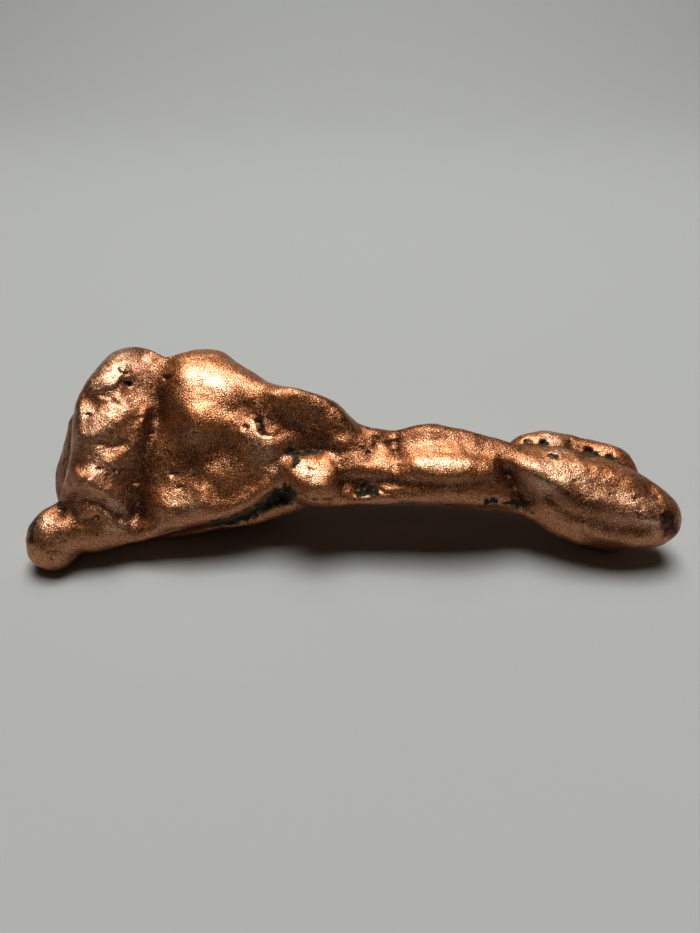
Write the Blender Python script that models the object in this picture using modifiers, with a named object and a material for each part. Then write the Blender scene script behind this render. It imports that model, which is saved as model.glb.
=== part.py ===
"""Native copper nugget: a water-worn lump with a leaning double-lobed blade, a knobbly neck and a paw.

The nugget is shaped in a frame of its own, the leaf: x runs along it, y up the slope of the blade and z
out of its face. Plates and limbs are fused into one skin, and hollows, ridges and grooves are pressed into
that skin. The finished leaf is then leaned back onto the table. All lengths of the leaf are in millimetres.
"""

import math

import bmesh
import bpy
import numpy as np
from mathutils import Matrix, Vector, noise

MM = 0.001

# Driving dimensions
LEAN_DEG = 56.43  # slope of the leaf over the table
LEAF_HEIGHT = 14.56  # height of the leaf's origin over the table
FUSE_VOXEL = 0.75  # grid size at which plates and limbs fuse
FUSE_PASSES = 6  # smoothing that turns their joints into fillets
BEAD_PITCH = 0.3  # distance between a limb's beads, as a share of their radius
FACING_FROM, FACING_TO = 0.0, 0.45  # how far a surface faces out where a stroke starts and fully holds
LUMP_SIZE, LUMP_HEIGHT = 5.0, 0.24  # the unevenness all over
TRIANGLE_TARGET = 9000

COPPER = (0.62, 0.30, 0.17, 1.0)

# The blade's top bows back, more at its face than at its back, from a height that changes along the blade
BOW_FROM = (  # x, height
    (-36.0, 7.0), (-33.0, 11.5), (-30.5, 11.0), (-25.0, 5.5), (-15.0, 5.0), (-9.0, 12.0),
)
BOW_RADIUS, BOW_AT_BACK = 16.0, 0.45

# Plates: name, middle z, half thickness, radius of the rounded edge, outline
PLATES = (
    ("blade", -3.4, 5.0, 3.4, (
        (-47.4, -5), (-46.3, 0), (-45.8, 4), (-45.3, 9), (-44.3, 13), (-42.6, 16.6), (-40.8, 19.2),
        (-37, 20.4), (-34, 19.5), (-31.6, 18.0), (-29, 18.8), (-25.6, 20.2), (-23, 19.8),
        (-20.5, 18.1), (-17.9, 16.2), (-15.4, 14.6), (-12.8, 13.4), (-10.3, 13.1), (-6.7, 12.0),
        (-4.1, 11.0), (-1.8, 9.2), (-0.4, 7.2), (1.0, 4.4), (0.4, 0), (-4, -3), (-9, -3.6),
        (-13, -5.2), (-18, -7.3), (-24, -9), (-31, -10.6), (-37, -12.6), (-44, -13.6), (-48, -11),
    )),
    ("shoulder_face", -1.3, 2.8, 1.3, (
        (-17, 14), (-12.8, 13.1), (-10.3, 12.9), (-6.7, 11.8), (-4.1, 10.8), (-1.9, 9.0), (-0.5, 7.0),
        (0.8, 4.2), (-4, 2), (-12, 3),
    )),
    ("left_face", -0.9, 2.4, 1.3, (
        (-46.5, -6), (-45.6, 0), (-45.1, 4), (-44.4, 9), (-43.0, 13), (-41.2, 16.4), (-39.6, 18.2),
        (-37, 15), (-37, 6), (-38, -2), (-41, -8),
    )),
    ("flange", -9.4, 3.6, 3.0, (
        (-50, -8), (-51.4, -4), (-51.6, -1.5), (-51.2, 0.5), (-50.4, 3), (-49.4, 6), (-48, 9.6),
        (-42, 12), (-30, 12), (-18, 9), (-8, 6), (-6, 0), (-12, -6), (-24, -7), (-40, -8),
    )),
)

# Limbs: name, flatness across the face, stations (x, y, z, radius) along the middle
LIMBS = (
    ("toe", 1.0, (
        (-38, -9, -1.6, 3.2), (-44, -9.8, -0.6, 3.9), (-47.8, -10.6, -0.1, 4.2), (-48.3, -12.5, -0.5, 4.4),
    )),
    ("rim", 1.0, (
        (-46, -11.4, -0.6, 2.8), (-40, -10.9, -0.8, 2.5), (-33, -9.5, -0.6, 2.3), (-26, -7.7, 0.0, 2.1),
        (-20, -6.4, 0.2, 2.0), (-15, -3.9, 0.4, 2.0), (-12, -1.8, 0.5, 2.0),
    )),
    ("left_lobe", 0.8, (
        (-38.2, 14.5, -3.0, 4.8), (-39.8, 9, -2.2, 5.0), (-40.6, 2, -1.3, 5.0), (-40.8, -4, -0.6, 5.0),
        (-41, -9.2, -0.6, 4.4),
    )),
    ("right_lobe", 0.75, ((-25, 12.8, -4.0, 6.4), (-24.2, 8, -3.2, 7.4), (-24, 1, -3.6, 7.4))),
    ("shoulder", 1.0, (
        (-14, 8.8, -5.0, 4.6), (-8.5, 7.4, -5.0, 4.8), (-4, 4.8, -4.0, 4.8), (0, 1.6, -3.0, 4.4),
    )),
    ("neck", 1.0, (
        (-3, -0.8, -0.8, 4.2), (4, -1.1, -0.7, 3.8), (8, -1.2, -0.2, 3.8), (12, -1.5, 0.3, 4.1),
        (16, -1.7, 0.4, 4.2), (20.5, -1.8, 0.0, 3.8), (25, -1.7, -0.8, 3.5), (29, -2.0, -0.4, 3.9),
        (34, -4.9, 0.1, 4.3), (39, -7.3, 0.2, 4.7), (44, -8.2, 0.1, 4.8), (47.7, -8.2, -0.8, 4.8),
    )),
    ("neck_top", 1.0, (
        (-2, 1.2, -2.8, 4.4), (3.5, 0.4, -2.6, 4.1), (7.6, 0.4, -2.1, 4.0), (12, 1.0, -2.3, 4.2),
        (16, 0.7, -2.0, 4.2), (21, -0.1, -2.0, 4.0), (26, -0.7, -2.2, 3.8),
    )),
    ("neck_ridge", 1.0, (
        (-3, 2.0, -5.0, 5.2), (3, 0.3, -4.4, 4.7), (7.6, 0.3, -4.2, 4.6), (11.5, 0.7, -4.1, 4.9),
        (16, 0.4, -4.1, 4.8), (21, -0.3, -4.2, 4.6), (26, -0.8, -3.6, 4.2), (32, -1.4, -1.5, 4.4),
        (38, -2.5, -1.2, 4.5), (43, -4.6, -1.0, 4.5), (46, -6.6, -1.4, 4.6),
    )),
    ("cheek", 1.0, (
        (28.5, -5, -1.6, 2.8), (32, -7.0, -1.8, 3.3), (36, -8.6, -1.8, 3.9), (41, -9.0, -2.0, 4.2),
        (46, -8.9, -1.6, 4.1),
    )),
    ("knob", 1.0, (
        (-8.2, 0.0, -0.7, 3.5), (-8.4, -2.5, 1.1, 3.1), (-5.0, -3.0, 1.3, 3.3), (-4.8, -0.4, -0.6, 3.8),
    )),
    ("fold", 1.0, (
        (-7, -4.0, 0.2, 2.2), (-3, -4.4, 0.6, 2.2), (1, -4.0, 1.1, 2.2), (6, -3.9, 1.2, 2.2),
        (11, -3.9, 1.2, 2.3), (16, -4.0, 1.1, 2.3), (21, -4.2, 0.7, 2.2), (25.5, -4.8, -0.2, 2.0),
    )),
    ("strand", 1.0, (
        (15, -5.2, -1.8, 1.6), (20, -5.7, -1.8, 1.6), (24, -6.0, -1.8, 1.5), (28, -6.6, -1.8, 1.6),
    )),
    ("neck_edge", 1.0, (
        (-1.5, 4.6, -3.4, 3.0), (2.0, 3.8, -2.5, 2.7), (7.0, 3.6, -2.1, 2.5), (11.4, 4.7, -2.3, 2.6),
        (15, 4.1, -2.2, 2.6), (19, 3.4, -2.0, 2.5), (22, 2.5, -1.9, 2.5), (26, 1.3, -1.8, 2.6),
    )),
    ("neck_back", 1.0, (
        (-6, 0.6, -9.6, 5.8), (2, -1.0, -10.4, 5.1), (8, -1.2, -10.5, 5.0), (12, -0.8, -10.5, 5.1),
        (18, -1.2, -10.3, 5.0), (24, -1.9, -9.6, 4.8), (34, -3.2, -8.0, 4.6), (41, -4.4, -5.8, 4.6),
    )),
    ("back_lobe", 0.9, (
        (28.8, 2.2, -5.8, 3.4), (33, 2.0, -6.6, 4.1), (38, 0.7, -6.6, 4.2), (42.8, -0.5, -6.0, 4.2),
        (44.2, -3.4, -5, 3.8),
    )),
    ("slab", 1.0, (
        (-38, -5, -6, 5.0), (-33, -6.8, -5.8, 5.0), (-28, -7.0, -5.6, 4.6), (-20, -5.9, -5, 4.4),
        (-14, -5.4, -3.8, 3.6), (-9, -4.6, -2.8, 2.8),
    )),
    ("back_foot", 1.0, (
        (-34, -2.2, -10.8, 5.0), (-27, -3.0, -12.6, 5.4), (-18, -3.2, -13.2, 5.6),
        (-11, -0.6, -10.6, 5.0),
    )),
    ("paw_foot", 1.0, ((36, -7.6, -4.6, 4.8), (42, -8.9, -4.5, 5.2))),
    # the back: two slanting ribs across the blade, and a filling behind the neck
    ("left_rib", 0.9, ((-39, 10.6, -8.4, 4.4), (-35.4, 5.4, -10.6, 4.6), (-30, -1.6, -12, 4.8))),
    ("right_rib", 0.9, ((-12, 8.4, -7, 4.4), (-16.4, 3.6, -10.4, 4.8), (-17, -2, -12.4, 5.0))),
    ("neck_filling", 1.0, (
        (-2, -0.8, -6.0, 4.2), (7, -0.2, -5.4, 4.0), (16, -0.8, -5.4, 4.0), (26, -2.2, -5.0, 4.0),
    )),
)

# Strokes: side (+1 the face, -1 the back), half width, height, points (x, y) along the middle
STROKES = (
    # the valley between the two lobes, the crease along it and the lip on its left
    (1, 4.0, -2.3, ((-31.6, 17), (-31.8, 15), (-31.9, 11), (-32.1, 9))),
    (1, 3.2, -0.9, ((-31.6, 16), (-31.8, 14.5))),
    (1, 2.4, -0.8, ((-34.6, 16), (-34.8, 14), (-34.4, 11.5))),
    (1, 3.2, -1.2, ((-32.6, 4), (-33.6, 0), (-34.4, -4), (-34.6, -5.4))),
    (1, 1.8, -0.8, ((-34.8, -7.4), (-35.4, -11.4))),
    (1, 1.1, -0.6, ((-31.4, 11), (-31.8, 7), (-33.2, 3), (-34.4, -1), (-34.6, -5), (-34.6, -8))),
    (1, 1.2, 0.3, ((-33.8, 8.6), (-34.4, 6.0))),
    # left lobe: the ragged step and hollow under its top, and the low ledges across it
    (1, 1.8, 0.4, ((-42.2, 13.4), (-39.0, 14.0), (-36.8, 15.4))),
    (1, 1.8, -0.45, ((-41.5, 10.4), (-38, 10.8), (-35.6, 12.0))),
    (1, 1.9, 0.6, ((-43.0, 4.2), (-39.5, 5.6), (-35.6, 8.8))),
    (1, 1.2, 0.65, ((-37.8, 0.6), (-35.4, 2.8), (-33.4, 6.0))),
    (1, 1.8, 0.4, ((-44, -2.2), (-41, -2.6))),
    (1, 1.6, 0.6, ((-40.6, -3.2), (-36.4, -5.6))),
    (1, 1.9, -0.3, ((-44, -6.2), (-40, -6.6), (-36, -7.4))),
    (1, 1.2, 0.5, ((-38.6, -8.6), (-38.2, -8.8))),
    (1, 1.4, -0.8, ((-47, -7.2), (-46.4, -6.8))),
    # the crease over the rim, and the crevice under it
    (1, 1.4, -0.3, ((-32, -8.6), (-29, -8.2), (-24, -7.4), (-19, -5.4), (-15, -2.8))),
    (1, 1.0, -1.5, ((-30, -11.0), (-26, -10.4), (-20, -9.2), (-16, -7.4), (-13, -5.2), (-11.6, -4.6))),
    # right lobe: dent, bowl, the swelling under it and two bumps
    (1, 1.6, -0.3, ((-23.5, 10.2), (-23, 10.0))),
    (1, 4.0, -0.9, ((-27.0, 0.8), (-22.0, 2.6))),
    (1, 1.9, 0.8, ((-30.2, -6.4), (-27, -6.8), (-23.5, -5.8))),
    (1, 1.2, 0.35, ((-24.2, -4.0), (-23.6, -3.8))),
    (1, 1.1, 0.3, ((-23.0, -1.2), (-22.4, -1.0))),
    # the dark valley that sets the shoulder off, and the hollows round the knob
    (1, 3.0, -0.7, ((-19, 9.2), (-15, 8.2), (-10, 6.2), (-6.5, 5.0))),
    (1, 2.4, 0.5, ((-16, 4.6), (-13.5, 3.2))),
    (1, 1.2, -1.2, ((-10.4, 2.2), (-7.0, 2.5))),
    (1, 1.0, -0.5, ((-7.6, 2.8), (-5.0, 2.9))),
    (1, 1.1, -0.5, ((-12.5, 1.0), (-12.4, -2.0), (-11.6, -4.4))),
    (1, 1.3, -0.5, ((-1.4, 0.4), (-1.0, -1.0), (-1.6, -2.8))),
    # neck: saddle, seam over the fold, hollows
    (1, 1.6, -0.6, ((6.0, 4.5), (6.6, 2), (6.8, 0))),
    (1, 0.9, -0.5, ((-1, -2.4), (5, -2.6), (10, -2.8), (18, -2.8), (24, -3.0))),
    (1, 1.2, -1.4, ((0.6, -3.8), (2.0, -3.8))),
    (1, 1.7, -1.9, ((24.4, -1.2), (26.0, -2.8), (27.6, -5.0))),
    # paw: the crease under its ridge, hollows on the back lobe
    (1, 1.6, -0.6, ((29.5, -4.4), (32.5, -6.4), (36, -8.2), (41, -9.4), (46, -9.9))),
    (1, 1.3, -0.7, ((28, 2.8), (32, 2.4), (36, 2.2), (40, 1.3), (44, -0.8), (46.4, -3.2))),
    (1, 1.2, -0.8, ((36.2, 3.4), (37.2, 2.0))),
    # the back: two long hollows and the ridge between them
    (-1, 3.0, -1.4, ((-30, 10), (-24, 7), (-22, 3))),
    (-1, 2.4, 0.9, ((-8, 4), (-2, 1), (6, 2))),
    (-1, 2.4, -0.8, ((4, 1), (10, 3), (19, 0.6))),
    (-1, 2.0, -0.9, ((31, -1), (36, -4), (43, -5))),
)


def outline_plate(name, middle, half, edge, outline):
    """A flat plate with rounded edges."""
    curve = bpy.data.curves.new(name, "CURVE")
    curve.dimensions = "2D"
    curve.fill_mode = "BOTH"
    curve.resolution_u = 4
    curve.extrude = (half - edge) * MM
    curve.bevel_depth = edge * MM
    curve.offset = -edge * MM
    curve.bevel_resolution = 3
    spline = curve.splines.new("BEZIER")
    spline.bezier_points.add(len(outline) - 1)
    spline.use_cyclic_u = True
    for point, (x, y) in zip(spline.bezier_points, outline):
        point.co = (x * MM, y * MM, 0)
        point.handle_left_type = point.handle_right_type = "AUTO"
    plate = bpy.data.objects.new(name, curve)
    plate.location = (0, 0, middle * MM)
    return plate


def along(stations):
    """Stations of a limb, with more put in between on a smooth path so that its beads merge."""
    p = np.array(stations, float)
    p = np.vstack([2 * p[0] - p[1], p, 2 * p[-1] - p[-2]])
    points = []
    for a, b, c, d in zip(p[:-3], p[1:-2], p[2:-1], p[3:]):
        steps = max(1, math.ceil(np.linalg.norm((c - b)[:3]) / (BEAD_PITCH * min(b[3], c[3]))))
        for t in np.arange(steps) / steps:
            bend = (2 * a - 5 * b + 4 * c - d) * t**2 + (3 * b - a - 3 * c + d) * t**3
            points.append(0.5 * (2 * b + (c - a) * t + bend))
    return points + [p[-2]]


def add_limb(bm, flatness, stations):
    """A limb of overlapping beads, flattened across the leaf's face."""
    for x, y, z, r in along(stations):
        size = Matrix.Diagonal((r * MM, r * MM, r * MM * flatness, 1))
        place = Matrix.Translation(Vector((x, y, z)) * MM) @ size
        bmesh.ops.create_icosphere(bm, subdivisions=2, radius=1.03, matrix=place)


def fused_skin(collection):
    """The plates and limbs as one closed skin with fillets where they meet."""
    bm = bmesh.new()
    for _name, flatness, stations in LIMBS:
        add_limb(bm, flatness, stations)
    for plate in PLATES:
        shape = outline_plate(*plate)
        collection.objects.link(shape)
        bpy.context.view_layer.update()
        made = shape.to_mesh()
        made.transform(shape.matrix_world)
        bm.from_mesh(made)
        shape.to_mesh_clear()
        bpy.data.objects.remove(shape)
    beads = bpy.data.meshes.new("beads")
    bmesh.ops.remove_doubles(bm, verts=bm.verts, dist=1e-7)
    bm.to_mesh(beads)
    bm.free()
    lump = bpy.data.objects.new("lump", beads)
    collection.objects.link(lump)
    remesh = lump.modifiers.new("fuse", "REMESH")
    remesh.mode = "VOXEL"
    remesh.voxel_size = FUSE_VOXEL * MM
    soften = lump.modifiers.new("soften", "SMOOTH")
    soften.factor = 0.5
    soften.iterations = FUSE_PASSES
    skin = baked(lump)
    bpy.data.objects.remove(lump)
    return skin


def baked(thing):
    """The mesh of an object with its modifiers applied."""
    graph = bpy.context.evaluated_depsgraph_get()
    return bpy.data.meshes.new_from_object(thing.evaluated_get(graph))


def distance_to_path(points, path):
    """Distance of every point from a polyline, in the plane of the leaf."""
    nearest = np.full(len(points), np.inf)
    for a, b in zip(path[:-1], path[1:]):
        step = b - a
        t = np.clip((points - a) @ step / max(step @ step, 1e-12), 0, 1)
        nearest = np.minimum(nearest, np.linalg.norm(points - a - t[:, None] * step, axis=1))
    return nearest


def press_strokes(mesh):
    """Raises or sinks the skin along each stroke, straight out of the leaf's face."""
    count = len(mesh.vertices)
    places, normals = np.empty(count * 3), np.empty(count * 3)
    mesh.vertices.foreach_get("co", places)
    mesh.vertices.foreach_get("normal", normals)
    places, facing = places.reshape(-1, 3) / MM, normals.reshape(-1, 3)[:, 2]
    moved = np.zeros(count)
    for side, width, height, path in STROKES:
        grip = np.clip((side * facing - FACING_FROM) / (FACING_TO - FACING_FROM), 0, 1)
        away = distance_to_path(places[:, :2], np.array(path, float))
        moved += side * height * grip * np.exp(-((away / width) ** 2))
    for i in range(count):
        spot = Vector(places[i] / LUMP_SIZE)
        places[i] += normals.reshape(-1, 3)[i] * LUMP_HEIGHT * noise.fractal(spot, 0.8, 2.0, 2)
    places[:, 2] += moved
    depth = np.clip((places[:, 2] + 10) / 10, 0, 1)
    start = np.interp(places[:, 0], *zip(*BOW_FROM))
    bow = np.maximum(places[:, 1] - start, 0) ** 2 / (2 * BOW_RADIUS)
    places[:, 2] -= bow * (BOW_AT_BACK + (1 - BOW_AT_BACK) * depth)
    mesh.vertices.foreach_set("co", (places * MM).ravel())
    mesh.update()


def lean_onto_table():
    """The leaf's place over the table: tilted back, its origin at its height."""
    return Matrix.Translation((0, 0, LEAF_HEIGHT * MM)) @ Matrix.Rotation(math.radians(LEAN_DEG), 4, "X")


def cut_flat_at_table(mesh):
    """Cuts off whatever reaches below the table, which leaves the facets that the nugget rests on."""
    bm = bmesh.new()
    bm.from_mesh(mesh)
    everything = bm.verts[:] + bm.edges[:] + bm.faces[:]
    bmesh.ops.bisect_plane(bm, geom=everything, plane_co=(0, 0, 0), plane_no=(0, 0, 1), clear_inner=True)
    bmesh.ops.holes_fill(bm, edges=[e for e in bm.edges if e.is_boundary], sides=0)
    bmesh.ops.triangulate(bm, faces=bm.faces[:])
    bmesh.ops.recalc_face_normals(bm, faces=bm.faces[:])
    bm.to_mesh(mesh)
    bm.free()


def stand_on_origin(mesh):
    """Puts the middle of the nugget's footprint over the origin."""
    places = np.empty(len(mesh.vertices) * 3)
    mesh.vertices.foreach_get("co", places)
    places = places.reshape(-1, 3)
    middle = (places.min(axis=0) + places.max(axis=0)) / 2
    mesh.transform(Matrix.Translation((-middle[0], -middle[1], 0)))


def copper():
    """Bare native copper, rubbed to a soft shine."""
    material = bpy.data.materials.new("native_copper")
    material.use_nodes = True
    shader = material.node_tree.nodes["Principled BSDF"]
    shader.inputs["Base Color"].default_value = COPPER
    shader.inputs["Metallic"].default_value = 1.0
    shader.inputs["Roughness"].default_value = 0.42
    return material


def main():
    for old in list(bpy.data.objects):
        bpy.data.objects.remove(old)
    collection = bpy.data.collections.new("native_copper_nugget")
    bpy.context.scene.collection.children.link(collection)
    skin = fused_skin(collection)
    press_strokes(skin)
    nugget = bpy.data.objects.new("copper_nugget", skin)
    collection.objects.link(nugget)
    thin = nugget.modifiers.new("thin", "DECIMATE")
    thin.ratio = TRIANGLE_TARGET / (2 * len(skin.polygons))
    bpy.context.view_layer.update()
    final = baked(nugget)
    nugget.modifiers.clear()
    nugget.data = final
    final.transform(lean_onto_table())
    cut_flat_at_table(final)
    stand_on_origin(final)
    final.shade_smooth()
    final.materials.append(copper())


main()
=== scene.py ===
"""Native copper nugget on a pale floor: the CAD solid's form with fine relief, painted highlights and shade,
and some host rock.
"""

import math

import bpy
import numpy as np
from mathutils import Matrix, Vector, noise


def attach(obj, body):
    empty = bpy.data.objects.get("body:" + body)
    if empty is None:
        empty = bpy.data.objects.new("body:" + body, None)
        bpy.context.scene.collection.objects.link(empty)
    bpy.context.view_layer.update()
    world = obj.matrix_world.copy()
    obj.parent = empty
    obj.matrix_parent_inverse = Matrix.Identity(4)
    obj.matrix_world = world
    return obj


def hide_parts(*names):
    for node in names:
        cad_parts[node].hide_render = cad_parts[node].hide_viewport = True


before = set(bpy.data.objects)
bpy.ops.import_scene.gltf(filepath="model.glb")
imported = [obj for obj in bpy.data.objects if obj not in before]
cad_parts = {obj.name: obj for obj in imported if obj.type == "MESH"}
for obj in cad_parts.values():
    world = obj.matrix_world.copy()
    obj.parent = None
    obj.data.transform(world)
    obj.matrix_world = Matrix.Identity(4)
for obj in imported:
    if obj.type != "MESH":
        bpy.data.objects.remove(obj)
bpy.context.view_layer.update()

MM = 0.001

# The leaf, the frame that the nugget was shaped in: x along it, y up its blade's slope, z out of the face.
# It leans back over the table, and its origin is raised and set back by so many millimetres.
LEAN = math.radians(56.43)
LEAF_HEIGHT, LEAF_SETBACK = 14.56, 4.42

# The camera stands on the leaf's normal: its place there and its sensor in millimetres
CAMERA_SIDE, CAMERA_DISTANCE = -0.56, 112.0
FOCAL_PX, FRAME_HEIGHT_PX, SENSOR = 700, 933, 36.0
CLIP_START = 5 * MM
VIEW_GAMMA = 0.74

# The floor, in metres: its half side, where it starts to sweep up, and the bend's radius and angle
FLOOR_REACH, FLOOR_FLAT, FLOOR_BEND, FLOOR_SWEEP = 2.5, 0.45, 0.6, math.radians(70)
FLOOR_STEPS = 24
FLOOR_COLOUR, FLOOR_ROUGHNESS = (0.53, 0.56, 0.58, 1), 0.9

# Lamps: name, place and size in metres, power in watts
LAMPS = (
    ("overhead", (0.0, 0.16, 1.2), 0.70, 13.8),
    ("back", (0.0, 0.55, 1.25), 0.60, 2.5),
)
LAMP_COLOUR = (1.0, 0.975, 0.92)
ROOM_COLOUR, ROOM_STRENGTH = (0.62, 0.42, 0.29, 1), 0.09

# The skin: its grid, and the smoothing that hides the solid's facets
SKIN_VOXEL = 0.32 * MM
SKIN_PASSES = 8

# Noises over the skin: how their octaves fade and shrink, how seeds part them, then the coarsest grain in
# millimetres, the octaves and the seed of each
NOISE_FADE, NOISE_STEP, SEED_SKEW = 0.7, 2.0, 0.7
UNEVEN, ROUGH = (3.2, 2, 5), (1.3, 2, 11)
STRAY_ALONG, STRAY_UP = (1.5, 2, 21), (1.5, 2, 37)
RAGGED, GRAINY, HOLLOW = (0.8, 3, 51), (0.7, 2, 3), (4.0, 3, 71)

# In millimetres: unevenness all over, how far strokes stray, the rock's depth and grain, the back's hollows
UNEVEN_HEIGHT, ROUGH_HEIGHT = 0.10, 0.05
STRAY = 0.45
ROCK_DEPTH, ROCK_GRAIN = 0.10, 0.35
HOLLOW_DEPTH = 0.55

# How far a surface turns to the face, from 1 to -1 for the back: where the face's relief starts and fully
# holds, and where the back's hollows start to fade and end
FACE, BACK = (-0.1, 0.4), (-0.45, -0.05)
# The values of the hollow noise between which the back sinks, and between which rock comes in there
HOLLOW_SPAN, BACK_ROCK_SPAN = (0.3, 0.9), (0.8, 0.9)
# Where patches of rock and stain fade out, in half widths
ROCK_EDGE, STAIN_EDGE = (0.85, 1.1), (0.6, 1.2)
# How much the rough and ragged noises tear those edges, and the back's rock
ROCK_TEAR_ROUGH, ROCK_TEAR, STAIN_TEAR, BACK_TEAR = 0.3, 0.5, 0.3, 0.2
# Relief that the material sees: passes of smoothing that it stands out of, and its full height in millimetres
RAISED, WORN = (40, 0.5), (6, 0.12)

# Relief of the face: half width, height and middle line in millimetres, placed as the camera sees them
RIDGES = (
    # the ragged flakes under the left lobe's top
    (0.5, 0.25, (
        (-41.6, 11.9), (-40.4, 12.1), (-39.6, 12.9), (-38.6, 12.8), (-37.7, 13.9), (-36.9, 14.2),
        (-36.5, 15.4),
    )),
    (0.6, 0.22, ((-41.0, 10.9), (-39.4, 10.4))),
    (0.6, 0.30, ((-37.6, 10.9), (-36.4, 10.4))),
    # the left lobe's streaks
    (0.7, 0.20, ((-43.6, 11.5), (-44.0, 8.0), (-43.8, 5.0))),
    (0.6, 0.45, ((-33.4, 9.0), (-33.2, 7.6), (-33.8, 6.4))),
    (1.2, 0.40, ((-44.4, -1.2), (-41.6, -1.8))),
    (1.1, 0.60, ((-41.4, -2.6), (-38.8, -3.8), (-36.6, -6.6))),
    (0.9, 0.40, ((-39.0, -9.2), (-37.0, -9.6))),
    (1.9, 0.50, ((-44.0, -2.8), (-41.0, -3.4), (-38.0, -5.0))),
    (0.9, 0.40, ((-43.4, -7.0), (-41.0, -7.2), (-39.0, -8.0))),
    # folds on the knob
    (0.5, 0.35, ((-9.6, 0.8), (-8.4, 1.4), (-7.2, 1.2))),
    (0.5, 0.30, ((-7.6, 0.4), (-6.6, -0.2), (-6.8, -1.2))),
    (0.6, 0.35, ((-8.8, -4.6), (-6.6, -5.6), (-4.4, -5.4))),
    # swellings on the neck
    (0.7, 0.22, ((4.4, 5.1), (5.4, 4.6))),
    (1.2, 0.35, ((-2.0, 3.6), (1.6, 3.7))),
    (0.6, 0.20, ((2.6, 3.4), (3.0, 2.4))),
    # the edge of a patch on the paw
    (0.6, 0.15, ((46.5, -8.6), (48.5, -8.8), (49.8, -7.6))),
)
GROOVES = (
    # cracks
    (0.22, -0.18, ((-41.6, 11.4), (-40.2, 11.6), (-39.4, 12.4), (-38.4, 12.3), (-37.4, 13.4), (-36.3, 14.9))),
    (0.25, -0.30, ((-38.0, 15.6), (-37.0, 14.9), (-36.2, 14.6))),
    (0.30, -0.35, ((-15.3, 8.0), (-15.2, 6.9), (-14.6, 5.4), (-13.6, 5.0))),
    (0.30, -0.30, ((-9.8, 1.0), (-8.8, 1.8), (-6.4, 2.0), (-5.2, 2.6))),
    (0.28, -0.30, ((-7.9, 1.0), (-7.4, 0.0), (-6.4, -0.6))),
    (0.28, -0.30, ((0.0, -2.2), (2.4, -3.0), (5.0, -4.3), (7.0, -4.4), (9.4, -4.5))),
    (0.25, -0.25, ((-9.0, -4.0), (-7.4, -5.0), (-5.0, -5.2), (-3.0, -4.6))),
    (0.25, -0.25, ((-48.6, -13.4), (-46.8, -13.8), (-44.6, -14.2))),
    # the hollow round the knob's right side
    (0.9, -0.32, ((-5.2, 3.0), (-3.4, 1.7), (-2.1, 0.0), (-1.6, -2.2))),
    # dents on the neck
    (0.8, -0.20, ((2.2, 2.8), (2.8, 1.6))),
    (0.8, -0.35, ((6.4, 3.4), (7.0, 2.2))),
    (0.6, -0.20, ((3.4, 4.4), (3.6, 3.4))),
    (0.7, -0.12, ((20.4, 3.4), (21.4, 2.0))),
    # hollows on the left lobe
    (1.0, -0.35, ((-45.0, -4.8), (-41.0, -5.4), (-37.6, -7.6))),
    (0.8, -0.35, ((-40.6, 3.8), (-38.6, 3.0), (-36.8, 3.6))),
    # the recess where the neck meets the paw, and the hollows under the paw's ridge
    (0.9, -0.50, ((23.2, 0.6), (24.6, -1.0), (25.6, -3.0))),
    (1.0, -0.40, ((31.2, -4.2), (32.6, -6.2), (34.4, -8.2))),
    (1.2, -0.15, ((40.6, -9.6), (43.6, -10.2), (47.0, -10.0))),
)
# Pits: place, half width, depth
PITS = (
    (-36.4, 13.2, 0.5, 0.9), (-32.7, 5.4, 0.35, 0.5), (-38.2, -0.3, 0.45, 0.6), (-40.6, -0.4, 0.3, 0.4),
    (-37.2, -0.6, 0.3, 0.4), (-41.5, -8.0, 0.35, 0.5), (-47.0, -7.0, 0.6, 0.6), (-42.4, 8.2, 0.3, 0.4),
    (-28.8, -1.4, 0.4, 0.5), (-29.2, -0.6, 0.3, 0.4), (-27.7, -3.6, 0.3, 0.4), (-34.9, -2.4, 0.3, 0.5),
    (-15.1, 7.1, 0.5, 0.8), (-14.8, 5.8, 0.4, 0.5), (-17.2, 6.2, 0.35, 0.4), (-25.4, 5.4, 0.35, 0.4),
    (11.3, 1.0, 0.3, 0.35), (6.5, 2.5, 0.4, 0.5), (2.4, 2.2, 0.4, 0.5), (24.4, -1.2, 0.45, 0.5),
    (28.2, 3.9, 0.45, 0.6), (30.5, 3.8, 0.5, 0.8), (31.8, 1.9, 0.4, 0.5), (37.6, 2.3, 0.5, 0.7),
    (41.2, 1.5, 0.4, 0.5), (48.6, -5.0, 0.3, 0.3), (45.4, -5.2, 0.25, 0.3), (-30.0, 14.1, 0.4, 0.5),
    (16.4, 1.2, 0.2, 0.2), (35.2, -2.4, 0.2, 0.2), (-20.2, 13.6, 0.3, 0.3), (-44.6, -4.6, 0.3, 0.3),
)

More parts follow.
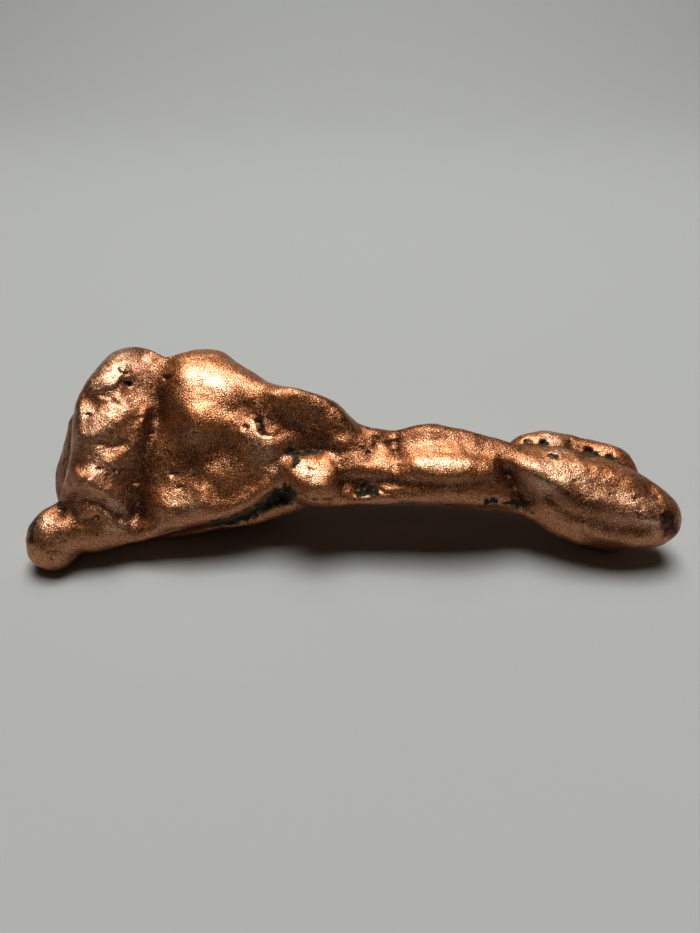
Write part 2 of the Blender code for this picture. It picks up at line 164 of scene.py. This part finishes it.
# Patches of the face: half width and middle line. First the dark green host rock left in the deep places
ROCK = (
    # the crevice under the blade's rim
    (0.6, ((-22.4, -9.2), (-19.0, -8.6), (-16.4, -7.6))),
    (0.9, ((-18.0, -8.0), (-16.0, -7.2), (-13.0, -5.6))),
    (1.5, ((-12.0, -4.9), (-10.8, -4.6))),
    # round the knob
    (0.6, ((-10.0, 2.6), (-9.2, 1.6), (-9.4, 0.4))),
    (0.35, ((-8.8, 2.0), (-6.4, 2.2), (-5.4, 3.0))),
    # under the neck
    (0.55, ((0.6, -4.5), (2.0, -4.0), (3.4, -4.2))),
    (0.3, ((1.4, -3.6), (1.8, -2.8))),
    (0.45, ((21.2, -5.6), (22.8, -5.5))),
    (0.55, ((24.6, -5.8), (27.4, -5.9))),
    # the back lobe's pits
    (0.5, ((38.0, 2.2), (39.2, 1.8))),
    (0.3, ((41.0, 1.4), (42.0, 1.2))),
    (0.4, ((29.6, 3.8), (31.0, 3.5))),
    (0.3, ((27.4, 3.9), (28.2, 3.8))),
    (0.3, ((32.2, 2.0), (32.8, 1.8))),
    # pits of the shoulder, the toe and the left lobe
    (0.4, ((-15.0, 7.2), (-14.6, 5.6))),
    (0.4, ((-47.2, -6.6), (-46.4, -7.4))),
    (0.35, ((-36.4, 13.1), (-36.3, 13.3))),
)
# Painted highlights: pale patches where the lamp's highlights fall
PAINTED_HIGHLIGHTS = (
    # the left lobe and the flange behind it
    (3.2, ((-40.2, 14.2), (-37.6, 17.0), (-35.6, 17.8))),
    (1.6, ((-43.0, 8.6), (-40.6, 8.0), (-37.0, 9.6))),
    (2.2, ((-42.8, 6.4), (-40.0, 6.0))),
    (3.0, ((-42.6, 4.0), (-41.0, -0.6))),
    (1.7, ((-41.0, -1.6), (-38.4, -2.6), (-36.0, -5.6))),
    (2.0, ((-38.4, -7.0), (-37.4, -8.6))),
    (0.8, ((-45.8, 3.6), (-46.4, 1.0), (-46.8, -2.6))),
    # the toe
    (2.0, ((-50.6, -9.0), (-48.2, -10.4))),
    # the right lobe: its crest, its swelling and the rough patch beside the knob
    (1.3, ((-25.6, 14.6), (-23.4, 14.0), (-20.6, 12.4))),
    (1.4, ((-28.6, -5.6), (-25.4, -6.0))),
    (2.4, ((-15.6, 3.4), (-13.6, 0.6))),
    # the knob and the neck
    (1.3, ((-8.2, -0.8), (-6.0, -1.6))),
    (1.0, ((11.0, 0.4), (18.0, 0.4))),
    # the paw and its back lobe
    (2.6, ((30.0, -1.0), (36.0, -2.8), (43.0, -6.0), (48.0, -7.4))),
    (1.4, ((31.6, 4.6), (33.0, 3.4))),
)
# Painted shade: dark brown patches where the face should look darker
PAINTED_SHADE = (
    # the valley between the lobes, and the left lobe's edge
    (2.2, ((-31.6, 19.0), (-31.9, 11.0), (-33.0, 4.0), (-34.2, -3.0), (-34.8, -9.0))),
    (1.6, ((-34.6, 18.8), (-34.2, 13.0), (-34.6, 10.0))),
    (0.6, ((-46.6, 10.0), (-47.6, 4.0), (-47.9, -1.0), (-47.6, -5.0))),
    (1.5, ((-47.6, -6.4), (-46.2, -7.4))),
    # the right lobe's bowl, the dark valley before the shoulder, and the shoulder's edge
    (2.6, ((-27.0, 0.6), (-23.0, 1.2))),
    (2.0, ((-17.8, 10.6), (-14.0, 8.2), (-9.0, 6.0), (-5.0, 4.4))),
    (1.8, ((-7.5, 11.4), (-3.0, 9.4), (-0.8, 6.2))),
    # between the knob and the neck
    (1.9, ((-3.0, 2.2), (0.0, 1.6), (2.0, 2.6))),
    (1.1, ((-3.6, 2.4), (-1.9, 0.4), (-1.4, -2.4))),
    # the neck's seam and its upper edge
    (0.7, ((-1.0, -2.0), (8.0, -2.6), (16.0, -2.9), (23.0, -2.2))),
    (1.6, ((3.0, 4.8), (7.6, 5.0), (12.0, 5.8), (19.0, 4.8), (25.0, 3.0))),
    # the recess before the paw, and the paw
    (1.7, ((24.0, -0.6), (25.8, -2.4), (27.2, -5.0))),
    (0.9, ((31.0, -5.2), (35.0, -8.0), (42.0, -10.2), (47.0, -10.2))),
    (2.0, ((34.0, -4.6), (38.0, -6.2))),
    (1.2, ((35.4, 5.0), (36.4, 2.4))),
)
# Dark maroon stains on the paw's tip and the toe's outer side
STAINED = (
    (1.5, ((50.2, -8.4), (50.6, -10.0))),
    (0.6, ((-51.5, -11.8), (-51.8, -9.6), (-51.0, -7.8))),
)

# Colour of the painted shade in the hollows
HOLLOW_SHADE_COPPER = (0.20, 0.065, 0.02, 1)
PORE_COPPER = (0.18, 0.06, 0.022, 1)
# Colour of the painted shade patches
PAINTED_SHADE_COPPER = (0.22, 0.08, 0.025, 1)
STAIN = (0.08, 0.025, 0.013, 1)
MID_COPPER = (0.62, 0.255, 0.095, 1)
PALE_COPPER = (0.93, 0.71, 0.54, 1)
GOLDEN_COPPER = (0.64, 0.32, 0.12, 1)
DARK_ROCK = (0.022, 0.024, 0.016, 1)
GREEN_ROCK = (0.11, 0.115, 0.07, 1)

# Patterns of the material: noise (scale per metre, detail, roughness, distortion), the stretch of it that is
# used, and what the two ends of that stretch become
GOLDEN_CLOUDS = ((220, 4, 0.6, 0.4), (0.32, 0.68), (0.0, 0.7))
PALE_SPECKS = ((2600, 3, 0.7, 0.0), (0.42, 0.62), (0.0, 1.0))
# Mottles the painted shade in the hollows
HOLLOW_SHADE_MOTTLE = ((900, 4, 0.7, 0.0), (0.3, 0.6), (0.0, 1.0))
# Mottles the painted shade patches
SHADE_MOTTLE = ((700, 4, 0.7, 0.0), (0.25, 0.6), (0.45, 1.0))
STAIN_CLOUDS = ((900, 3, 0.6, 0.0), (0.3, 0.6), (0.6, 1.0))
PALE_CLOUDS = ((420, 4, 0.7, 0.0), (0.35, 0.62), (0.15, 0.75))
CRACK_CLOUDS = ((1100, 3, 0.7, 0.0), (0.38, 0.6), (0.35, 0.9))
DOT_CLOUDS = ((170, 3, 0.6, 0.0), (0.45, 0.56), (0.0, 1.0))
GREEN_GRAINS = ((1500, 4, 0.8, 0.0), (0.4, 0.7), (0.0, 1.0))
SATIN = ((1300, 4, 0.7, 0.0), (0.3, 0.7), (0.42, 0.58))
GRAIN_WEAR = ((260, 3, 0.6, 0.0), (0.36, 0.62), (0.6, 1.0))

# The grain: pebbles parted by thin cracks, and finer grit over them, with the share of each in its height
WARP_SCALE, WARP_DETAIL, WARP_REACH = 1800, 2.0, 0.35 * MM
PEBBLE_SCALE, PEBBLE_EDGE, PEBBLE_SHARE = 2600, 0.22, 0.45
GRIT, GRIT_SHARE = (3400, 3, 0.6, 0.0), 0.9
DOT_SCALE, DOT_EDGE = 450, (0.16, 0.08)
# Where the grain's tops turn pale, where its cracks turn dark, where worn places and painted highlights turn
# pale, and where hollows take painted shade
PALE_TOPS, DARK_CRACKS, WEAR_AND_HIGHLIGHT_SPAN, HOLLOW_SHADE_SPAN = (0.72, 1.0), (0.5, 0.0), (0.4, 0.9), (0.5, 0.18)
# Where rock gives way to metal, and the rock's roughness
ROCK_SPAN, ROCK_ROUGHNESS = (0.3, 0.7), 0.8
# The polish: a clear coat that is full on the painted highlights, half elsewhere, and thin on the painted
# shade and stains
POLISH_ROUGHNESS, POLISH_IOR = 0.19, 2.0
POLISH_ON_HIGHLIGHTS, POLISH_ELSEWHERE, POLISH_FADED = 0.8, 0.5, 0.25
# Bumps: the coarse one's noise and strength, and the depth of each
COARSE_NOISE, COARSE_STRENGTH, COARSE_DEPTH = (900, 4, 0.65, 0.3), 0.8, 0.14 * MM
FINE_DEPTH = 0.058 * MM


def leaf_place():
    """Matrix from the leaf to the nugget's own frame, both in millimetres."""
    return Matrix.Translation((0, -LEAF_SETBACK, LEAF_HEIGHT)) @ Matrix.Rotation(LEAN, 4, "X")


def seen(points):
    """Where the camera sees points of the leaf, in millimetres on the leaf's plane."""
    grow = CAMERA_DISTANCE / (CAMERA_DISTANCE - points[:, 2])
    return np.stack([(points[:, 0] - CAMERA_SIDE) * grow + CAMERA_SIDE, points[:, 1] * grow], axis=1)


def noise_at(points, size, octaves, seed):
    """Fractal noise of about -1 to 1 at each point; size is its coarsest grain in millimetres."""
    shift = Vector((seed, seed * SEED_SKEW, -seed))
    spots = (Vector(p) / size + shift for p in points)
    return np.array([noise.fractal(spot, NOISE_FADE, NOISE_STEP, octaves) for spot in spots])


def away_from(points, path):
    """Distance of each point from a line of short straight stretches."""
    path = np.array(path, float)
    nearest = np.full(len(points), np.inf)
    for a, b in zip(path[:-1], path[1:]):
        step = b - a
        t = np.clip((points - a) @ step / (step @ step), 0, 1)
        nearest = np.minimum(nearest, np.linalg.norm(points - a - t[:, None] * step, axis=1))
    return nearest


def ease(x, low, high):
    """0 below low, 1 above high, and a soft step between."""
    t = np.clip((x - low) / (high - low), 0, 1)
    return t * t * (3 - 2 * t)


def hill(away, width):
    """1 on the line, falling off softly within about two widths."""
    return np.exp(-((away / width) ** 2))


class Skin:
    """A mesh's vertices as arrays, in the leaf frame and in millimetres."""

    def __init__(self, mesh):
        self.mesh = mesh
        edges = np.empty(len(mesh.edges) * 2, int)
        mesh.edges.foreach_get("vertices", edges)
        self.edges = edges.reshape(-1, 2)
        self.valence = np.bincount(edges, minlength=len(mesh.vertices))
        self.read()

    def read(self):
        count = len(self.mesh.vertices)
        places, normals = np.empty(count * 3), np.empty(count * 3)
        self.mesh.vertices.foreach_get("co", places)
        self.mesh.vertices.foreach_get("normal", normals)
        turn = np.array(leaf_place().inverted())
        self.points = places.reshape(-1, 3) / MM @ turn[:3, :3].T + turn[:3, 3]
        self.normals = normals.reshape(-1, 3) @ turn[:3, :3].T

    def write(self):
        """Moves the mesh to the points, none of them under the floor."""
        turn = np.array(leaf_place())
        places = (self.points @ turn[:3, :3].T + turn[:3, 3]) * MM
        places[:, 2] = np.maximum(places[:, 2], 0)
        self.mesh.vertices.foreach_set("co", places.ravel())
        self.mesh.update()
        self.read()

    def noise(self, pattern):
        return noise_at(self.points, *pattern)

    def averaged(self, values, passes):
        """One value a vertex, averaged over and over with its neighbours'."""
        a, b = self.edges.T
        for _ in range(passes):
            around = np.bincount(a, values[b], len(values)) + np.bincount(b, values[a], len(values))
            values = 0.5 * values + 0.5 * around / self.valence
        return values

    def standing_out(self, passes, full_height):
        """How far each point stands out of the smoothed skin: 0.5 level with it, 1 at half the full height."""
        smooth = np.stack([self.averaged(axis, passes) for axis in self.points.T], axis=1)
        height = np.einsum("ij,ij->i", self.points - smooth, self.normals)
        return np.clip(0.5 + height / full_height, 0, 1)

    def keep(self, name, values):
        attribute = self.mesh.attributes.new(name, "FLOAT", "POINT")
        attribute.data.foreach_set("value", values.astype(np.float32))


def fine_skin(node):
    """A copy of the CAD solid's mesh on a fine even grid."""
    lump = bpy.data.objects.new("nugget", node.data.copy())
    bpy.context.scene.collection.objects.link(lump)
    remesh = lump.modifiers.new("grid", "REMESH")
    remesh.mode = "VOXEL"
    remesh.voxel_size = SKIN_VOXEL
    soften = lump.modifiers.new("soften", "SMOOTH")
    soften.factor = 0.5
    soften.iterations = SKIN_PASSES
    graph = bpy.context.evaluated_depsgraph_get()
    mesh = bpy.data.meshes.new_from_object(lump.evaluated_get(graph))
    lump.modifiers.clear()
    lump.data = mesh
    return lump


def relief_at(spots):
    """Height that the ridges, grooves and pits add at each spot."""
    height = np.zeros(len(spots))
    for width, peak, path in RIDGES + GROOVES:
        height += peak * hill(away_from(spots, path), width)
    for x, y, width, depth in PITS:
        height -= depth * hill(np.hypot(spots[:, 0] - x, spots[:, 1] - y), width)
    return height


def soft_patches(spots, patches):
    """How much of a patch covers each spot, fading softly at the edges."""
    return np.max([hill(away_from(spots, path), width) for width, path in patches], axis=0)


def torn_patches(spots, patches, torn, edge):
    """How much of a patch covers each spot; torn shifts the patches' edges, in half widths."""
    covers = [1 - ease(away_from(spots, path) / width + torn, *edge) for width, path in patches]
    return np.max(covers, axis=0)


def sculpt(lump):
    """Presses the fine relief into the skin and keeps, for the material, what lies where."""
    skin = Skin(lump.data)
    rough = skin.noise(ROUGH)
    uneven = UNEVEN_HEIGHT * skin.noise(UNEVEN) + ROUGH_HEIGHT * rough
    skin.points += skin.normals * uneven[:, None]
    skin.write()

    facing = ease(skin.normals[:, 2], *FACE)
    hidden = 1 - ease(skin.normals[:, 2], *BACK)
    stray = np.stack([skin.noise(STRAY_ALONG), skin.noise(STRAY_UP)], axis=1)
    spots = seen(skin.points) + STRAY * stray
    ragged, grainy, hollows = skin.noise(RAGGED), skin.noise(GRAINY), skin.noise(HOLLOW)
    torn = ROCK_TEAR_ROUGH * rough + ROCK_TEAR * ragged
    rock = facing * torn_patches(spots, ROCK, torn, ROCK_EDGE)
    skin.points[:, 2] += facing * relief_at(spots) + rock * (ROCK_GRAIN * grainy - ROCK_DEPTH)
    skin.points -= skin.normals * (HOLLOW_DEPTH * hidden * ease(hollows, *HOLLOW_SPAN))[:, None]
    skin.write()

    back_rock = hidden * ease(hollows + BACK_TEAR * ragged, *BACK_ROCK_SPAN)
    skin.keep("rock", np.maximum(rock, back_rock))
    # Painted highlights: where the face is coloured pale for the lamp's highlights
    skin.keep("painted_highlight", facing * soft_patches(spots, PAINTED_HIGHLIGHTS))
    # Painted shade: where the face is coloured dark brown
    skin.keep("painted_shade", facing * soft_patches(spots, PAINTED_SHADE))
    skin.keep("stained", facing * torn_patches(spots, STAINED, STAIN_TEAR * ragged, STAIN_EDGE))
    skin.keep("raised", skin.standing_out(*RAISED))
    skin.keep("worn", skin.standing_out(*WORN))
    lump.data.shade_smooth()


class Nodes:
    """Adds shader nodes and wires them up."""

    def __init__(self, name):
        self.material = bpy.data.materials.new(name)
        self.material.use_nodes = True
        self.tree = self.material.node_tree
        self.shader = self.tree.nodes["Principled BSDF"]

    def add(self, kind, inputs=(), **settings):
        node = self.tree.nodes.new(kind)
        for key, value in settings.items():
            setattr(node, key, value)
        for key, value in dict(inputs).items():
            self.put(value, node.inputs[key])
        return node

    def put(self, value, socket):
        if isinstance(value, bpy.types.NodeSocket):
            self.tree.links.new(value, socket)
        else:
            socket.default_value = value

    def attribute(self, name):
        return self.add("ShaderNodeAttribute", attribute_name=name).outputs["Fac"]

    def noise(self, scale, detail, roughness, distortion):
        inputs = {
            "Vector": self.where, "Scale": scale, "Detail": detail, "Roughness": roughness,
            "Distortion": distortion,
        }
        return self.add("ShaderNodeTexNoise", inputs).outputs["Fac"]

    def span(self, value, low, high, to_low=0.0, to_high=1.0):
        inputs = {"Value": value, "From Min": low, "From Max": high, "To Min": to_low, "To Max": to_high}
        return self.add("ShaderNodeMapRange", inputs).outputs["Result"]

    def pattern(self, settings):
        texture, used, becomes = settings
        return self.span(self.noise(*texture), *used, *becomes)

    def math(self, operation, a, b):
        return self.add("ShaderNodeMath", {0: a, 1: b}, operation=operation).outputs[0]

    def vector(self, operation, a, key, b):
        return self.add("ShaderNodeVectorMath", {0: a, key: b}, operation=operation).outputs[0]

    def mix(self, factor, a, b):
        node = self.add("ShaderNodeMix", data_type="RGBA")
        for key, value in zip(("Factor", "A", "B"), (factor, a, b)):
            self.put(value, [s for s in node.inputs if s.name == key and s.enabled][0])
        return [s for s in node.outputs if s.enabled][0]


def copper_grain(n):
    """The grain's pebbles and height, and the fine dark dots between them."""
    warp = n.add("ShaderNodeTexNoise", {"Vector": n.where, "Scale": WARP_SCALE, "Detail": WARP_DETAIL})
    warp = n.vector("ADD", warp.outputs["Color"], 1, (-0.5, -0.5, -0.5))
    warped = n.vector("ADD", n.where, 1, n.vector("SCALE", warp, "Scale", WARP_REACH))
    cells = {"Vector": warped, "Scale": PEBBLE_SCALE}
    cells = n.add("ShaderNodeTexVoronoi", cells, feature="DISTANCE_TO_EDGE")
    pebbles = n.span(cells.outputs["Distance"], 0.0, PEBBLE_EDGE)
    grit = n.math("MULTIPLY", n.noise(*GRIT), GRIT_SHARE)
    grain = n.math("ADD", n.math("MULTIPLY", pebbles, PEBBLE_SHARE), grit)
    dots = n.add("ShaderNodeTexVoronoi", {"Vector": warped, "Scale": DOT_SCALE}).outputs["Distance"]
    dots = n.math("MULTIPLY", n.span(dots, *DOT_EDGE), n.pattern(DOT_CLOUDS))
    return pebbles, grain, dots


def metal_colour(n, painted_highlight, shade_mask, stained, pebbles, grain, dots):
    """Copper of several hues, with painted highlights and painted shade among them, from its mid colour to the
    last dark stain over it.
    """
    golden = n.mix(n.pattern(GOLDEN_CLOUDS), MID_COPPER, GOLDEN_COPPER)
    # Worn high points and the painted highlights turn pale copper
    wear_and_highlight = n.math("ADD", n.math("MULTIPLY", n.attribute("worn"), 0.5), n.math("MULTIPLY", painted_highlight, 0.5))
    wear_and_highlight = n.math("MULTIPLY", n.span(wear_and_highlight, *WEAR_AND_HIGHLIGHT_SPAN), n.pattern(PALE_SPECKS))
    # Painted shade: the hollows turn dark copper
    hollow = n.math("MULTIPLY", n.span(n.attribute("raised"), *HOLLOW_SHADE_SPAN), n.pattern(HOLLOW_SHADE_MOTTLE))
    tops = n.math("MULTIPLY", n.span(grain, *PALE_TOPS), n.pattern(PALE_CLOUDS))
    cracks = n.math("MULTIPLY", n.span(pebbles, *DARK_CRACKS), n.pattern(CRACK_CLOUDS))
    metal = n.mix(wear_and_highlight, golden, PALE_COPPER)
    metal = n.mix(hollow, metal, HOLLOW_SHADE_COPPER)
    # Painted shade: dark brown over its patches
    metal = n.mix(shade_mask, metal, PAINTED_SHADE_COPPER)
    metal = n.mix(tops, metal, PALE_COPPER)
    metal = n.mix(cracks, metal, PORE_COPPER)
    metal = n.mix(dots, metal, PORE_COPPER)
    return n.mix(stained, metal, STAIN)


def native_copper():
    """Native copper with pale worn places, painted highlights, painted shade, fine dark pores, stains and
    green rock in its hollows.
    """
    n = Nodes("native_copper")
    n.where = n.add("ShaderNodeTexCoord").outputs["Object"]
    rock, painted_highlight = n.attribute("rock"), n.attribute("painted_highlight")
    bare = n.span(rock, *ROCK_SPAN, 1.0, 0.0)
    # Painted shade, mottled
    shade_mask = n.math("MULTIPLY", n.attribute("painted_shade"), n.pattern(SHADE_MOTTLE))
    stained = n.math("MULTIPLY", n.attribute("stained"), n.pattern(STAIN_CLOUDS))
    pebbles, grain, dots = copper_grain(n)
    metal = metal_colour(n, painted_highlight, shade_mask, stained, pebbles, grain, dots)
    grains = n.mix(n.pattern(GREEN_GRAINS), DARK_ROCK, GREEN_ROCK)
    n.put(n.mix(rock, metal, grains), n.shader.inputs["Base Color"])
    n.put(bare, n.shader.inputs["Metallic"])
    rock_roughness = n.math("MULTIPLY", rock, ROCK_ROUGHNESS)
    n.put(n.math("MAXIMUM", n.pattern(SATIN), rock_roughness), n.shader.inputs["Roughness"])

    # The coat is fullest on the painted highlights
    polish = n.math("MULTIPLY", bare, n.span(painted_highlight, 0.0, POLISH_ON_HIGHLIGHTS, POLISH_ELSEWHERE, 1.0))
    faded = n.span(n.math("MAXIMUM", shade_mask, stained), 0.0, 1.0, 1.0, POLISH_FADED)
    n.put(n.math("MULTIPLY", polish, faded), n.shader.inputs["Coat Weight"])
    n.shader.inputs["Coat Roughness"].default_value = POLISH_ROUGHNESS
    n.shader.inputs["Coat IOR"].default_value = POLISH_IOR

    coarse = n.add("ShaderNodeBump", {
        "Height": n.noise(*COARSE_NOISE), "Strength": COARSE_STRENGTH, "Distance": COARSE_DEPTH,
    })
    fine = n.add("ShaderNodeBump", {
        "Height": n.math("SUBTRACT", grain, dots), "Strength": n.pattern(GRAIN_WEAR), "Distance": FINE_DEPTH,
        "Normal": coarse.outputs["Normal"],
    })
    n.put(fine.outputs["Normal"], n.shader.inputs["Normal"])
    n.put(fine.outputs["Normal"], n.shader.inputs["Coat Normal"])
    return n.material


def pale_floor():
    """A flat floor that sweeps up far behind the nugget."""
    run = [(-FLOOR_REACH, 0.0), (FLOOR_FLAT, 0.0)]
    for turn in np.linspace(0, FLOOR_SWEEP, FLOOR_STEPS + 1)[1:]:
        run.append((FLOOR_FLAT + FLOOR_BEND * math.sin(turn), FLOOR_BEND * (1 - math.cos(turn))))
    corners = [(x, y, z) for y, z in run for x in (-FLOOR_REACH, FLOOR_REACH)]
    faces = [(2 * i, 2 * i + 1, 2 * i + 3, 2 * i + 2) for i in range(len(run) - 1)]
    mesh = bpy.data.meshes.new("floor")
    mesh.from_pydata(corners, [], faces)
    mesh.shade_smooth()
    floor = bpy.data.objects.new("floor", mesh)
    bpy.context.scene.collection.objects.link(floor)
    n = Nodes("pale_floor")
    n.shader.inputs["Base Color"].default_value = FLOOR_COLOUR
    n.shader.inputs["Roughness"].default_value = FLOOR_ROUGHNESS
    mesh.materials.append(n.material)


def light_the_scene():
    """Soft lamps over and behind the nugget, aimed at it, in a dim warm room."""
    for name, place, size, power in LAMPS:
        light = bpy.data.lights.new(name, "AREA")
        light.size, light.energy, light.color = size, power, LAMP_COLOUR
        lamp = bpy.data.objects.new(name, light)
        lamp.location = place
        lamp.rotation_euler = (-Vector(place)).to_track_quat("-Z", "Y").to_euler()
        bpy.context.scene.collection.objects.link(lamp)
    world = bpy.data.worlds.new("room")
    world.use_nodes = True
    background = world.node_tree.nodes["Background"]
    background.inputs["Color"].default_value = ROOM_COLOUR
    background.inputs["Strength"].default_value = ROOM_STRENGTH
    bpy.context.scene.world = world


def place_camera():
    camera = bpy.data.objects.new("camera", bpy.data.cameras.new("camera"))
    camera.data.lens = FOCAL_PX / FRAME_HEIGHT_PX * SENSOR
    camera.data.clip_start = CLIP_START
    camera.location = leaf_place() @ Vector((CAMERA_SIDE, 0, CAMERA_DISTANCE)) * MM
    camera.rotation_euler = (LEAN, 0, 0)
    bpy.context.scene.collection.objects.link(camera)
    bpy.context.scene.camera = camera


def main():
    nugget = fine_skin(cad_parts["copper_nugget"])
    sculpt(nugget)
    nugget.data.materials.clear()
    nugget.data.materials.append(native_copper())
    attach(nugget, "root")
    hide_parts("copper_nugget")
    pale_floor()
    light_the_scene()
    place_camera()
    bpy.context.scene.view_settings.view_transform = "Standard"
    bpy.context.scene.view_settings.gamma = VIEW_GAMMA


main()
